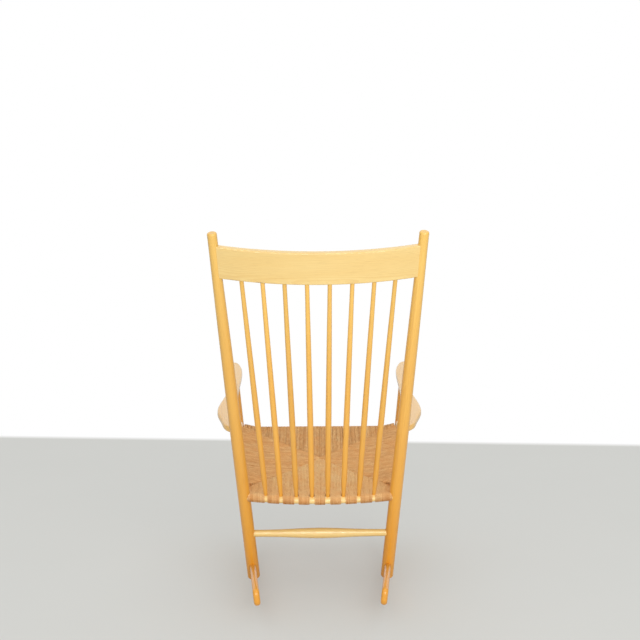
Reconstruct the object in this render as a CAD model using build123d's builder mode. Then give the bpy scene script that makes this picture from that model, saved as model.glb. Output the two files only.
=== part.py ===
"""Rocking chair with a fan of spindles, shaped arms and a woven cord seat.

Every piece of wood is a solid of its own, held in the next one by a socket, a
mortise or a slot. The seat is one woven solid wrapped round its four rails.
Millimetres, +Z up. The sitter faces -Y and has +X at the left hand. The origin
is the middle of the floor area that the chair covers, at floor level.
"""
import os
from math import asin, cos, degrees, radians, sin, sqrt

from build123d import *

os.makedirs("parts", exist_ok=True)

# ---- Side frames: each leans outwards and closes in towards the back ----
frame_half_width = 191  # from the middle of the chair to the side frame, at the back foot
frame_lean = 6.15
frame_toe = 5.1

# ---- Back posts, measured in the side frame ----
post_foot_height = 40
post_rise = 1042
post_rake_run = 361
post_foot_diameter = 36
post_arm_diameter = 34.5
post_crest_diameter = 28
post_head_diameter = 26
post_head_round = 4.5
leg_end_round = 3

# ---- Front legs ----
front_leg_setback = -450  # where the foot of the front leg is, behind the back foot
front_foot_height = 120
front_leg_rise = 469
front_leg_lean_run = 102
front_leg_inset = 16  # how far the head of the leg stands inside the side frame
front_foot_diameter = 30
front_seat_diameter = 35
front_head_diameter = 27

# ---- Rockers ----
rocker_radius = 1000
rocker_contact = -36  # where the rocker meets the floor, under the centre of mass
rocker_tip = -535
rocker_tail = 284
rocker_thickness = 18
rocker_tip_height = 42
rocker_front_height = 66
rocker_middle_height = 54
rocker_back_height = 82
rocker_tail_height = 42
rocker_end_round = 17
rocker_edge_round = 8
rocker_pin_diameter = 7
rocker_pin_lift = 18  # from the end of the leg up to its pin

# ---- Crest rail ----
crest_height = 90
crest_thickness = 18
crest_bow = 47
crest_drop = 36  # from the top of the post down to the crest rail
crest_edge_round = 3.5
crest_tenon_thickness = 9
crest_tenon_shoulder = 14

# ---- Spindles ----
spindle_count = 8
spindle_foot_pitch = 44.5  # between the middle two
spindle_head_pitch = 59
spindle_fan_radius = 500  # the pitch narrows towards the posts as on this arc
spindle_foot_diameter = 10.5
spindle_shoulder_diameter = 14.2
spindle_shoulder_at = 50  # from its foot, as the other four
spindle_swell_diameter = 16
spindle_swell_at = 120
spindle_thick_diameter = 16.5
spindle_thick_at = 220
spindle_waist_diameter = 14.7
spindle_waist_at = 430
spindle_neck_diameter = 13.2
spindle_neck_at = 560
spindle_head_diameter = 11.5
spindle_foot_depth = 12
spindle_head_depth = 20

# ---- Seat rails ----
seat_rail_height = 20
seat_rail_depth = 26
seat_rail_tenon = 13
seat_rail_web = 1.5  # wood left between two tenons that cross in one leg
seat_rail_root = 3  # how far a tenon of the bowed rail runs back into the rail
front_rail_height = 388
back_rail_height = 305
side_rail_lift = 9  # the side rails lie this much above the front and back ones
back_rail_bow = 28

# ---- Stretchers ----
stretcher_end_diameter = 20
stretcher_quarter_share = 0.3  # of its swell, a quarter of the way along
back_stretcher_diameter = 30
front_stretcher_diameter = 28
side_stretcher_diameter = 26
back_stretcher_height = 184
front_stretcher_height = 240
side_stretcher_front_height = 200
side_stretcher_back_height = 146
socket_past_axis = 5  # how far a round tenon reaches past the middle of its leg

# ---- Arms ----
arm_back_height = 512
arm_thickness = 17
arm_edge_round = 6
arm_length = 600
arm_heel_out = 4
arm_heel_radius = 20
arm_heel_in = 16
arm_heel_reach = 62
arm_shoulder_out = 37
arm_shoulder_reach = 60
arm_lobe_out = 47
arm_lobe_in = 13
arm_lobe_reach = 132
arm_waist_out = 18
arm_waist_in = 19
arm_waist_reach = 290
arm_hand_out = 8
arm_hand_in = 38
arm_hand_reach = 460
arm_tip_out = -14
arm_tip_radius = 22
arm_leg_tenon = 18
arm_leg_tenon_depth = 11
arm_post_tenon = 12
arm_post_tenon_depth = 18

# ---- Woven seat ----
cord_layer = 3.2
weave_sag = 6
weave_gap = 0.3
weave_notch = 13
weave_leg_gap = 1

# ---- Fits ----
glue_gap = 0.1

pieces = {}


# ---- Layout: the side frame's plane and the lines that the members follow ----
rearward = Vector(0, 1, 0).rotate(Axis.Z, frame_toe)
upward = Vector(0, 0, 1).rotate(Axis((0, 0, 0), rearward), frame_lean)
side_frame = Plane(
    origin=(frame_half_width, 0, 0), x_dir=rearward, z_dir=rearward.cross(upward)
)


def on_frame(back, up, out=0):
    """The place in the left side frame that is so far back, up and out."""
    return side_frame.from_local_coords(Vector(back, up, out))


post_foot = on_frame(0, post_foot_height)
post_head = on_frame(post_rake_run, post_foot_height + post_rise)
front_foot = on_frame(front_leg_setback, front_foot_height)
front_head = on_frame(
    front_leg_setback + front_leg_lean_run,
    front_foot_height + front_leg_rise,
    -front_leg_inset,
)


def at_height(start, end, height):
    """The place at that height on the line from start to end."""
    return start + (end - start) * ((height - start.Z) / (end.Z - start.Z))


def on_post(height):
    return at_height(post_foot, post_head, height)


def on_front_leg(height):
    return at_height(front_foot, front_head, height)


def opposite(place):
    """The same place on the other side of the chair."""
    return Vector(-place.X, place.Y, place.Z)


def bow_radius(half_chord, bow):
    return (half_chord**2 + bow**2) / (2 * bow)


def bow_at(half_chord, bow, across):
    """How far a bowed rail stands behind its chord, so far from the middle."""
    radius = bow_radius(half_chord, bow)
    return sqrt(radius**2 - across**2) - (radius - bow)


# ---- Shapes that several pieces share ----
def turned(start, end, stations, straight, rounds):
    """A round member turned about the line from start to end.

    stations are (distance, radius) pairs. Outside the first and the last of
    them the member is a plain cylinder as long as straight says, and its two
    ends are rounded over by rounds.
    """
    line = end - start
    length = line.length
    first = stations[0][1]
    last = stations[-1][1]
    face_across = line.cross(Vector(0, 0, 1))
    if face_across.length < line.length / 100:
        face_across = line.cross(Vector(0, 1, 0))
    shoulder = straight[0]
    neck = length - straight[1]
    with BuildPart() as member:
        with BuildSketch(Plane(origin=start, x_dir=line, z_dir=face_across)):
            with BuildLine():
                Line((0, 0), (0, first - rounds[0]))
                if rounds[0]:
                    RadiusArc((0, first - rounds[0]), (rounds[0], first), rounds[0])
                if shoulder > rounds[0]:
                    Line((rounds[0], first), (shoulder, first))
                Spline(
                    [(shoulder, first), *stations[1:-1], (neck, last)],
                    tangents=[(1, 0), (1, 0)],
                )
                if straight[1] > rounds[1]:
                    Line((neck, last), (length - rounds[1], last))
                if rounds[1]:
                    RadiusArc((length - rounds[1], last), (length, last - rounds[1]), rounds[1])
                Line((length, last - rounds[1]), (length, 0))
                Line((length, 0), (0, 0))
            make_face()
        revolve(axis=Axis(start, line))
    return member


def round_bar(start, end, radius):
    """A plain round bar or bore from start to end."""
    with BuildPart() as bar:
        with BuildSketch(Plane(origin=start, z_dir=end - start)):
            Circle(radius)
        extrude(amount=(end - start).length)
    return bar


def mirrored(piece):
    """The same piece for the right side of the chair."""
    with BuildPart() as twin:
        mirror(piece.part, about=Plane.YZ)
    return twin


def past(start, end, distance):
    """The line from start to end, made longer by distance at its end."""
    return end + (end - start).normalized() * distance


# ---- Legs before they are bored ----
post_length = (post_head - post_foot).length
front_leg_length = (front_head - front_foot).length


def post_blank(extra):
    """A back post in the round, thicker all over by extra."""
    arm_at = (on_post(arm_back_height) - post_foot).length
    crest_at = post_length - crest_drop - crest_height
    return turned(
        post_foot,
        post_head,
        [
            (0, post_foot_diameter / 2 + extra),
            (arm_at, post_arm_diameter / 2 + extra),
            (crest_at, post_crest_diameter / 2 + extra),
            (post_length, post_head_diameter / 2 + extra),
        ],
        (leg_end_round, post_head_round),
        (leg_end_round, post_head_round),
    )


def front_leg_blank(extra):
    """A front leg in the round, thicker all over by extra."""
    seat_at = (on_front_leg(front_rail_height) - front_foot).length
    return turned(
        front_foot,
        front_head,
        [
            (0, front_foot_diameter / 2 + extra),
            (seat_at, front_seat_diameter / 2 + extra),
            (front_leg_length, front_head_diameter / 2 + extra),
        ],
        (leg_end_round, leg_end_round),
        (leg_end_round, 0),
    )


# ---- Rockers ----
def rocker_underside(back):
    """The height of the rocker's lower edge, so far behind the back foot."""
    return rocker_radius - sqrt(rocker_radius**2 - (back - rocker_contact) ** 2)


def rocker_body(extra):
    """The left rocker, larger all over by extra."""
    places = [
        (rocker_tip, rocker_tip_height),
        (front_leg_setback, rocker_front_height),
        (front_leg_setback / 2, rocker_middle_height),
        (0, rocker_back_height),
        (rocker_tail, rocker_tail_height),
    ]
    upper = [(back, rocker_underside(back) + height + extra) for back, height in places]
    tip = (rocker_tip, rocker_underside(rocker_tip) - extra)
    tail = (rocker_tail, rocker_underside(rocker_tail) - extra)
    with BuildPart() as body:
        with BuildSketch(side_frame) as outline:
            with BuildLine():
                ThreePointArc(tip, (rocker_contact, -extra), tail)
                Line(tail, upper[-1])
                Spline(upper)
                Line(upper[0], tip)
            make_face()
            fillet(outline.vertices(), rocker_end_round)
        extrude(amount=rocker_thickness / 2 + extra, both=True)
        flat_faces = body.faces().filter_by(side_frame)
        fillet(flat_faces.edges(), rocker_edge_round + extra)
    return body


def pin_line(foot, head, half):
    """The two ends of a pin's line through a leg, across the rocker."""
    middle = foot + (head - foot).normalized() * rocker_pin_lift
    return middle - side_frame.z_dir * half, middle + side_frame.z_dir * half


# ---- Seat rails: where they run ----
front_rail_end = on_front_leg(front_rail_height)
back_rail_end = on_post(back_rail_height)
side_rail_front = on_front_leg(front_rail_height + side_rail_lift)
side_rail_back = on_post(back_rail_height + side_rail_lift)
tenon_shift = (seat_rail_tenon + seat_rail_web - side_rail_lift) / 2
back_rail_half = back_rail_end.X
back_rail_radius = bow_radius(back_rail_half, back_rail_bow)
seat_line = Vector(
    0, back_rail_end.Y - front_rail_end.Y, back_rail_end.Z - front_rail_end.Z
).normalized()


def on_back_rail(across):
    """The back rail's middle, so far from the middle of the chair."""
    chord = Vector(across, back_rail_end.Y, back_rail_end.Z)
    return chord + seat_line * bow_at(back_rail_half, back_rail_bow, across)


def straight_rail(start, end, extra):
    """An oval rail on the line from start to end, larger all over by extra."""
    across = (end - start).cross(Vector(0, 0, 1))
    with BuildPart() as rail:
        with BuildSketch(Plane(origin=start, x_dir=across, z_dir=end - start)):
            Ellipse(seat_rail_depth / 2 + extra, seat_rail_height / 2 + extra)
        extrude(amount=(end - start).length)
    return rail


def bowed_rail(extra):
    """The oval back rail, larger all over by extra. Its bow lies in the seat's plane."""
    half_angle = degrees(asin(back_rail_half / back_rail_radius))
    middle = on_back_rail(0)
    centre = middle - seat_line * back_rail_radius
    sideways = Vector(1, 0, 0)
    with BuildPart() as rail:
        with BuildSketch(Plane(origin=middle, x_dir=seat_line, z_dir=sideways)):
            Ellipse(seat_rail_depth / 2 + extra, seat_rail_height / 2 + extra)
        revolve(axis=Axis(centre, sideways.cross(seat_line)), revolution_arc=half_angle)
        mirror(about=Plane.YZ)
    return rail


def tenon_bar(start, end, shift, extra):
    """A rail's round tenon from end to end, as a bar that is larger by extra."""
    lift = Vector(0, 0, shift)
    reach = socket_past_axis + extra
    first = past(end, start, reach) + lift
    last = past(start, end, reach) + lift
    return round_bar(first, last, seat_rail_tenon / 2 + extra)


def back_rail_tenon(side, extra):
    """The tenon at the left (1) or right (-1) end of the back rail, larger by extra."""
    end = Vector(side * back_rail_end.X, back_rail_end.Y, back_rail_end.Z - tenon_shift)
    root = end - Vector(side * (post_foot_diameter / 2 + seat_rail_root), 0, 0)
    return round_bar(root, past(root, end, socket_past_axis), seat_rail_tenon / 2 + extra)


# ---- The back: its plane holds both posts ----
back_foot = Vector(0, post_foot.Y, post_foot.Z)
rake = Vector(0, post_head.Y - post_foot.Y, post_head.Z - post_foot.Z)
rake_length = rake.length
rake_up = rake.normalized()
back_behind = Vector(1, 0, 0).cross(rake_up) * -1
crest_top = rake_length - crest_drop
crest_bottom = crest_top - crest_height
crest_middle = (crest_top + crest_bottom) / 2


def on_back(across, up, behind):
    """The place in the back that is so far across, up the rake and behind it."""
    return back_foot + Vector(across, 0, 0) + rake_up * up + back_behind * behind


def post_across(up):
    """Half the distance between the posts' middles, so far up the rake."""
    return post_foot.X + (post_head.X - post_foot.X) * up / rake_length


crest_half = post_across(crest_middle)
crest_radius = bow_radius(crest_half, crest_bow)


def crest_band(thickness, shoulder, extra, edge_round):
    """A piece of the crest rail's bow, as thick as that, between the posts."""
    low = crest_bottom + shoulder
    high = crest_top - shoulder
    wide = 3 * crest_bow
    lower_cut = post_across(low) + extra
    upper_cut = post_across(high) + extra
    level = Plane(origin=on_back(0, low, 0), x_dir=(1, 0, 0), z_dir=rake_up)
    upright = Plane(origin=on_back(0, low, 0), x_dir=(1, 0, 0), z_dir=back_behind * -1)
    with BuildPart() as band:
        with BuildSketch(level):
            with Locations((0, crest_bow - crest_radius)):
                Circle(crest_radius + thickness / 2)
                Circle(crest_radius - thickness / 2, mode=Mode.SUBTRACT)
            with Locations((0, crest_bow)):
                Rectangle(3 * crest_half, 2 * wide, mode=Mode.INTERSECT)
        extrude(amount=high - low)
        if edge_round:
            long_edges = band.edges().filter_by(GeomType.CIRCLE)
            fillet(long_edges, edge_round)
        with BuildSketch(upright):
            Polygon(
                (-lower_cut, 0),
                (lower_cut, 0),
                (upper_cut, high - low),
                (-upper_cut, high - low),
                align=None,
            )
        extrude(amount=wide, both=True, mode=Mode.INTERSECT)
    return band


# ---- Spindles ----
def spindle_line(number):
    """The foot and head of a spindle, counted from the sitter's right."""
    steps = number - (spindle_count - 1) / 2
    foot_x = spindle_fan_radius * sin(steps * spindle_foot_pitch / spindle_fan_radius)
    head_x = spindle_fan_radius * sin(steps * spindle_head_pitch / spindle_fan_radius)
    foot = on_back_rail(foot_x) + Vector(0, 0, seat_rail_height / 2)
    head = on_back(head_x, crest_bottom, bow_at(crest_half, crest_bow, head_x))
    return past(head, foot, spindle_foot_depth), past(foot, head, spindle_head_depth)


def spindle_socket(number):
    """The bore that a spindle stands in, at both ends."""
    foot, head = spindle_line(number)
    low = past(head, foot, glue_gap)
    high = past(foot, head, glue_gap)
    foot_stop = low + (high - low).normalized() * 2 * spindle_foot_depth
    head_stop = high + (low - high).normalized() * 2 * spindle_head_depth
    foot_bore = round_bar(low, foot_stop, spindle_foot_diameter / 2 + glue_gap)
    head_bore = round_bar(high, head_stop, spindle_head_diameter / 2 + glue_gap)
    return foot_bore, head_bore


# ---- Stretchers ----
def stretcher_line(start, end):
    """The line between two legs' middles, with both tenons added."""
    return past(end, start, socket_past_axis), past(start, end, socket_past_axis)


def stretcher(start, end, diameter):
    """A stretcher that swells from its ends to its middle."""
    first, last = stretcher_line(start, end)
    length = (last - first).length
    tenon = front_seat_diameter / 2 + socket_past_axis
    end_radius = stretcher_end_diameter / 2
    swell = diameter / 2 - end_radius
    quarter_radius = end_radius + stretcher_quarter_share * swell
    return turned(
        first,
        last,
        [
            (0, end_radius),
            (length / 4, quarter_radius),
            (length / 2, diameter / 2),
            (3 * length / 4, quarter_radius),
            (length, end_radius),
        ],
        (tenon, tenon),
        (1, 1),
    )


def stretcher_bore(start, end):
    """The bore for both tenons of a stretcher, as one bar."""
    first, last = stretcher_line(start, end)
    first = past(last, first, glue_gap)
    last = past(first, last, glue_gap)
    return round_bar(first, last, stretcher_end_diameter / 2 + glue_gap)


back_stretcher_end = on_post(back_stretcher_height)
front_stretcher_end = on_front_leg(front_stretcher_height)
side_stretcher_front = on_front_leg(side_stretcher_front_height)
side_stretcher_back = on_post(side_stretcher_back_height)

# ---- Arms: the line from the post to the head of the front leg ----
arm_start = on_post(arm_back_height)
arm_aim = on_frame(
    front_leg_setback + front_leg_lean_run, front_foot_height + front_leg_rise
)
arm_backward = (arm_start - arm_aim).normalized()
arm_outward = arm_backward.cross(Vector(0, 0, 1)).normalized()
arm_plane = Plane(
    origin=arm_start, x_dir=arm_outward, z_dir=arm_outward.cross(arm_backward)
)
front_leg_line = (front_head - front_foot).normalized()


def ring_places(centre, radius, angles):
    """Places on a circle, at those angles."""
    return [
        (centre[0] + radius * cos(radians(angle)), centre[1] + radius * sin(radians(angle)))
        for angle in angles
    ]


def arm_body():
    """The left arm: an S-shaped plank with rounded edges and round ends."""
    heel = (arm_heel_out, -arm_heel_radius)
    tip = (arm_tip_out, -(arm_length - arm_tip_radius))
    outline = [
        *ring_places(heel, arm_heel_radius, (160, 90, 30)),
        (arm_shoulder_out, -arm_shoulder_reach),
        (arm_lobe_out, -arm_lobe_reach),
        (arm_waist_out, -arm_waist_reach),
        (arm_hand_out, -arm_hand_reach),
        *ring_places(tip, arm_tip_radius, (0, -45, -90, -135, -180)),
        (-arm_hand_in, -arm_hand_reach),
        (-arm_waist_in, -arm_waist_reach),
        (-arm_lobe_in, -arm_lobe_reach),
        (-arm_heel_in, -arm_heel_reach),
    ]
    with BuildPart() as plank:
        with BuildSketch(arm_plane):
            with BuildLine():
                Spline(outline, periodic=True)
            make_face()
        extrude(amount=arm_thickness / 2, both=True)
        flat_faces = plank.faces().filter_by(arm_plane)
        fillet(flat_faces.edges(), arm_edge_round)
    return plank


def arm_post_bar(extra):
    """The round tenon that holds the arm in the back post."""
    reach = arm_post_tenon_depth - post_arm_diameter / 2
    deep = arm_start + arm_backward * (reach + extra)
    out = arm_start - arm_backward * 2 * arm_shoulder_reach
    return round_bar(deep, out, arm_post_tenon / 2 + extra)


def arm_leg_bar(extra):
    """The round tenon on the front leg that holds the arm."""
    top = front_head + front_leg_line * (arm_leg_tenon_depth - arm_thickness / 2 + extra)
    below = front_head - front_leg_line * arm_thickness
    return round_bar(below, top, arm_leg_tenon / 2 + extra)


# ---- Left legs, bored and slotted for what they hold ----
pin_bore_radius = rocker_pin_diameter / 2 + glue_gap
pin_reach = post_foot_diameter
post_pin = pin_line(post_foot, post_head, pin_reach)
front_pin = pin_line(front_foot, front_head, pin_reach)

post_cuts = [
    rocker_body(glue_gap),
    round_bar(*post_pin, pin_bore_radius),
    tenon_bar(opposite(back_rail_end), back_rail_end, -tenon_shift, glue_gap),
    tenon_bar(side_rail_front, side_rail_back, tenon_shift, glue_gap),
    stretcher_bore(opposite(back_stretcher_end), back_stretcher_end),
    stretcher_bore(side_stretcher_front, side_stretcher_back),
    crest_band(
        crest_tenon_thickness + 2 * glue_gap, crest_tenon_shoulder - glue_gap, glue_gap, 0
    ),
    arm_post_bar(glue_gap),
]
with BuildPart() as back_post_left:
    add(post_blank(0).part)
    for cut in post_cuts:
        add(cut.part, mode=Mode.SUBTRACT)
pieces["back_post_left"] = back_post_left

front_leg_cuts = [
    rocker_body(glue_gap),
    round_bar(*front_pin, pin_bore_radius),
    tenon_bar(opposite(front_rail_end), front_rail_end, -tenon_shift, glue_gap),
    tenon_bar(side_rail_back, side_rail_front, tenon_shift, glue_gap),
    stretcher_bore(opposite(front_stretcher_end), front_stretcher_end),
    stretcher_bore(side_stretcher_back, side_stretcher_front),
]
with BuildPart() as front_leg_left:
    add(front_leg_blank(0).part)
    for cut in front_leg_cuts:
        add(cut.part, mode=Mode.SUBTRACT)
    split(bisect_by=arm_plane.offset(-arm_thickness / 2 - glue_gap), keep=Keep.BOTTOM)
    add(arm_leg_bar(0).part)
pieces["front_leg_left"] = front_leg_left

# ---- Left rocker and its two pins ----
with BuildPart() as rocker_left:
    add(rocker_body(0).part)
    for line in (post_pin, front_pin):
        add(round_bar(*line, pin_bore_radius).part, mode=Mode.SUBTRACT)
pieces["rocker_left"] = rocker_left

with BuildPart() as rocker_pin_back_left:
    add(round_bar(*post_pin, rocker_pin_diameter / 2).part)
    add(post_blank(0).part, mode=Mode.INTERSECT)
pieces["rocker_pin_back_left"] = rocker_pin_back_left

with BuildPart() as rocker_pin_front_left:
    add(round_bar(*front_pin, rocker_pin_diameter / 2).part)
    add(front_leg_blank(0).part, mode=Mode.INTERSECT)
pieces["rocker_pin_front_left"] = rocker_pin_front_left

# ---- Left arm ----
with BuildPart() as arm_left:
    add(arm_body().part)
    add(post_blank(glue_gap).part, mode=Mode.SUBTRACT)
    add(arm_post_bar(0).part)
    add(arm_leg_bar(glue_gap).part, mode=Mode.SUBTRACT)
pieces["arm_left"] = arm_left

# ---- Left side rail and side stretcher ----
with BuildPart() as seat_rail_left:
    add(straight_rail(side_rail_front, side_rail_back, 0).part)
    add(front_leg_blank(glue_gap).part, mode=Mode.SUBTRACT)
    add(post_blank(glue_gap).part, mode=Mode.SUBTRACT)
    add(tenon_bar(side_rail_front, side_rail_back, tenon_shift, 0).part)
pieces["seat_rail_left"] = seat_rail_left

with BuildPart() as stretcher_left:
    add(stretcher(side_stretcher_front, side_stretcher_back, side_stretcher_diameter).part)
pieces["stretcher_left"] = stretcher_left

# ---- The right side is the left side mirrored ----
for left_name in list(pieces):
    pieces[left_name.replace("left", "right")] = mirrored(pieces[left_name])


# ---- Pieces that run from side to side ----
def both_sides(blank):
    """A leg in the round together with its twin on the right."""
    with BuildPart() as pair:
        add(blank.part)
        mirror(about=Plane.YZ)
    return pair


posts_in_round = both_sides(post_blank(glue_gap))
front_legs_in_round = both_sides(front_leg_blank(glue_gap))

with BuildPart() as crest_rail:
    add(crest_band(crest_thickness, 0, 0, crest_edge_round).part)
    add(posts_in_round.part, mode=Mode.SUBTRACT)
    add(crest_band(crest_tenon_thickness, crest_tenon_shoulder, 0, 0).part)
    for number in range(spindle_count):
        add(spindle_socket(number)[1].part, mode=Mode.SUBTRACT)
pieces["crest_rail"] = crest_rail

with BuildPart() as seat_rail_back:
    add(bowed_rail(0).part)
    add(posts_in_round.part, mode=Mode.SUBTRACT)
    for side in (1, -1):
        add(back_rail_tenon(side, 0).part)
    for number in range(spindle_count):
        add(spindle_socket(number)[0].part, mode=Mode.SUBTRACT)
pieces["seat_rail_back"] = seat_rail_back

with BuildPart() as seat_rail_front:
    add(straight_rail(opposite(front_rail_end), front_rail_end, 0).part)
    add(front_legs_in_round.part, mode=Mode.SUBTRACT)
    add(tenon_bar(opposite(front_rail_end), front_rail_end, -tenon_shift, 0).part)
pieces["seat_rail_front"] = seat_rail_front

with BuildPart() as stretcher_back:
    add(stretcher(opposite(back_stretcher_end), back_stretcher_end, back_stretcher_diameter).part)
pieces["stretcher_back"] = stretcher_back

with BuildPart() as stretcher_front:
    add(stretcher(opposite(front_stretcher_end), front_stretcher_end, front_stretcher_diameter).part)
pieces["stretcher_front"] = stretcher_front

for number in range(spindle_count):
    foot, head = spindle_line(number)
    spindle_length = (head - foot).length
    with BuildPart() as spindle:
        add(
            turned(
                foot,
                head,
                [
                    (0, spindle_foot_diameter / 2),
                    (spindle_shoulder_at, spindle_shoulder_diameter / 2),
                    (spindle_swell_at, spindle_swell_diameter / 2),
                    (spindle_thick_at, spindle_thick_diameter / 2),
                    (spindle_waist_at, spindle_waist_diameter / 2),
                    (spindle_neck_at, spindle_neck_diameter / 2),
                    (spindle_length, spindle_head_diameter / 2),
                ],
                (spindle_foot_depth, spindle_head_depth),
                (1, 1),
            ).part
        )
    pieces[f"spindle_{number + 1}"] = spindle

# ---- Woven seat: two layers between the rails and a sleeve round each rail ----
sleeve = weave_gap + cord_layer
seat_rail_gaps = [
    straight_rail(side_rail_front, side_rail_back, weave_gap),
    straight_rail(opposite(side_rail_front), opposite(side_rail_back), weave_gap),
    straight_rail(opposite(front_rail_end), front_rail_end, weave_gap),
    bowed_rail(weave_gap),
    back_rail_tenon(1, weave_gap),
    back_rail_tenon(-1, weave_gap),
]
seat_rail_sleeves = [
    straight_rail(side_rail_front, side_rail_back, sleeve),
    straight_rail(opposite(side_rail_front), opposite(side_rail_back), sleeve),
    straight_rail(opposite(front_rail_end), front_rail_end, sleeve),
    bowed_rail(sleeve),
]
leg_clearances = [
    both_sides(post_blank(weave_leg_gap)),
    both_sides(front_leg_blank(weave_leg_gap)),
]
half_layer = seat_rail_height / 2 + sleeve
layer_front = (front_rail_end.Y, front_rail_end.Z)
layer_back = (on_back_rail(0).Y, on_back_rail(0).Z)
layer_middle = (
    (layer_front[0] + layer_back[0]) / 2,
    (layer_front[1] + layer_back[1]) / 2,
)

with BuildPart() as seat_weave:
    with BuildSketch(Plane.XY):
        with BuildLine():
            Polyline(
                (-back_rail_end.X, back_rail_end.Y),
                (-front_rail_end.X, front_rail_end.Y),
                (front_rail_end.X, front_rail_end.Y),
                (back_rail_end.X, back_rail_end.Y),
            )
            ThreePointArc(
                (back_rail_end.X, back_rail_end.Y),
                (0, on_back_rail(0).Y),
                (-back_rail_end.X, back_rail_end.Y),
            )
        make_face()
    extrude(amount=2 * front_rail_height)
    with BuildSketch(Plane.YZ):
        with BuildLine():
            upper = [
                (layer_front[0], layer_front[1] + half_layer),
                (layer_middle[0], layer_middle[1] + half_layer - weave_sag),
                (layer_back[0], layer_back[1] + half_layer),
            ]
            lower = [
                (layer_front[0], layer_front[1] - half_layer),
                (layer_middle[0], layer_middle[1] - half_layer + weave_sag),
                (layer_back[0], layer_back[1] - half_layer),
            ]
            ThreePointArc(*upper)
            Line(upper[2], lower[2])
            ThreePointArc(*lower)
            Line(lower[0], upper[0])
        make_face()
    extrude(amount=2 * front_rail_end.X, both=True, mode=Mode.INTERSECT)
    for piece in seat_rail_sleeves:
        add(piece.part)
    for piece in seat_rail_gaps + leg_clearances:
        add(piece.part, mode=Mode.SUBTRACT)
    for number in range(spindle_count):
        foot, head = spindle_line(number)
        notch_front = foot.Y - spindle_foot_diameter / 2 - weave_leg_gap
        with Locations((foot.X, notch_front, back_rail_height)):
            Box(
                weave_notch,
                2 * seat_rail_depth,
                4 * half_layer,
                align=(Align.CENTER, Align.MIN, Align.CENTER),
                mode=Mode.SUBTRACT,
            )
pieces["seat_weave"] = seat_weave

# ---- The whole chair is set over the middle of its floor area and written out ----
bounds = Compound([piece.part for piece in pieces.values()]).bounding_box()
to_origin = Location((0, -bounds.center().Y, -bounds.min.Z))
for name, piece in pieces.items():
    piece.part.move(to_origin)
    piece.part.label = name
    export_step(piece.part, f"parts/{name}.step")
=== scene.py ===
"""Rocking chair: the woven cord seat, the wood finishes and the studio.

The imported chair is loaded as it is. Each piece of wood gets grain that runs its
own way under a lacquer, and the seat's plain solid is replaced by the cords
that wrap its four rails. Metres, +Z up, the sitter faces -Y.
"""
import math
import random

import bmesh
import bpy
from bpy.props import FloatProperty, FloatVectorProperty, PointerProperty
from bpy.types import Operator, Panel, PropertyGroup
from mathutils import Euler, Matrix, Vector


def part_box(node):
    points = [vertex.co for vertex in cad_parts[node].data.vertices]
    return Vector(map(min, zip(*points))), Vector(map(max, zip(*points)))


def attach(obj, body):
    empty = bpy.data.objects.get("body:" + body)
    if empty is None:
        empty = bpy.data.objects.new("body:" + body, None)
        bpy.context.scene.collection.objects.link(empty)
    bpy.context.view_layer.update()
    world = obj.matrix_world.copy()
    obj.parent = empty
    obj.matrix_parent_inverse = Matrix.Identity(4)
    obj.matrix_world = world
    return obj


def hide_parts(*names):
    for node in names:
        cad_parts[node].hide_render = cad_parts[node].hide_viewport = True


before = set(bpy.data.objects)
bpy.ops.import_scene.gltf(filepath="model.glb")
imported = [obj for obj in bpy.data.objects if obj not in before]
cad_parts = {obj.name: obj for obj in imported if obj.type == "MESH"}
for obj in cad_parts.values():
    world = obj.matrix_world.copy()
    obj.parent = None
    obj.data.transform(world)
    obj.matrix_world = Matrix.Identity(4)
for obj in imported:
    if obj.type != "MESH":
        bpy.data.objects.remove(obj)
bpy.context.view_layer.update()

bl_info = {
    "name": "Rocking chair with a woven cord seat",
    "version": (1, 0, 0),
    "blender": (4, 5, 0),
    "location": "3D Viewport > Sidebar > Rocking chair",
    "description": "Weaves the seat, finishes the wood and sets up the studio",
    "category": "Object",
}

# The four rails that carry the seat: where their middle lines end on the left
FRONT_RAIL = Vector((0.25824, -0.32595, 0.38815))
BACK_RAIL = Vector((0.21552, 0.15602, 0.30515))
BACK_RAIL_BOW = 0.028
SIDE_RAIL_FRONT = Vector((0.25872, -0.32394, 0.39715))
SIDE_RAIL_BACK = Vector((0.21621, 0.15923, 0.31415))
RAIL_HALF_DEPTH = 0.013
RAIL_HALF_HEIGHT = 0.010
SPINDLE_FEET = (0.02211, 0.06617, 0.10972, 0.15241)
CREST_BOW = Vector((0, 0.0443, -0.0157))

# Where the four fields of cord begin and end
LEG_CLEARANCE = 0.0185  # from a leg's middle to the nearest cord
FRONT_DIAGONAL = 0.0165  # from the front rail's middle to the diagonals' front ends
BACK_DIAGONAL_Y = 0.112
SIDE_STARTS_BEHIND = 0.001  # the first side cord, behind the diagonals' front ends
SIDE_STOPS_BEHIND = 0.027  # the last side cord, behind the diagonals' back ends
BACK_REACHES_PAST = 0.0075  # the outer back bundles, past the diagonals' back ends
SHORTEST_RUN = 0.012
RAGGED_MEETING = (-0.002, 0.004)  # added to the side cords behind the meeting point
GAP_SHARES = (1.3, 0.7)  # of the gap at a spindle, in the middle and outermost
BUNDLE_TIGHT, BUNDLE_OPENS = 0.006, 0.04  # a bundle stays tight, then opens over
FRONT_LIFT, LIFT_FROM, LIFT_OVER = 0.009, 0.2, 0.037  # front cords beside the legs
PACKING_HALF = 0.002
PACKING_CORNERS = ((0.222, -0.305), (0.188, 0.125))

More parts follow.
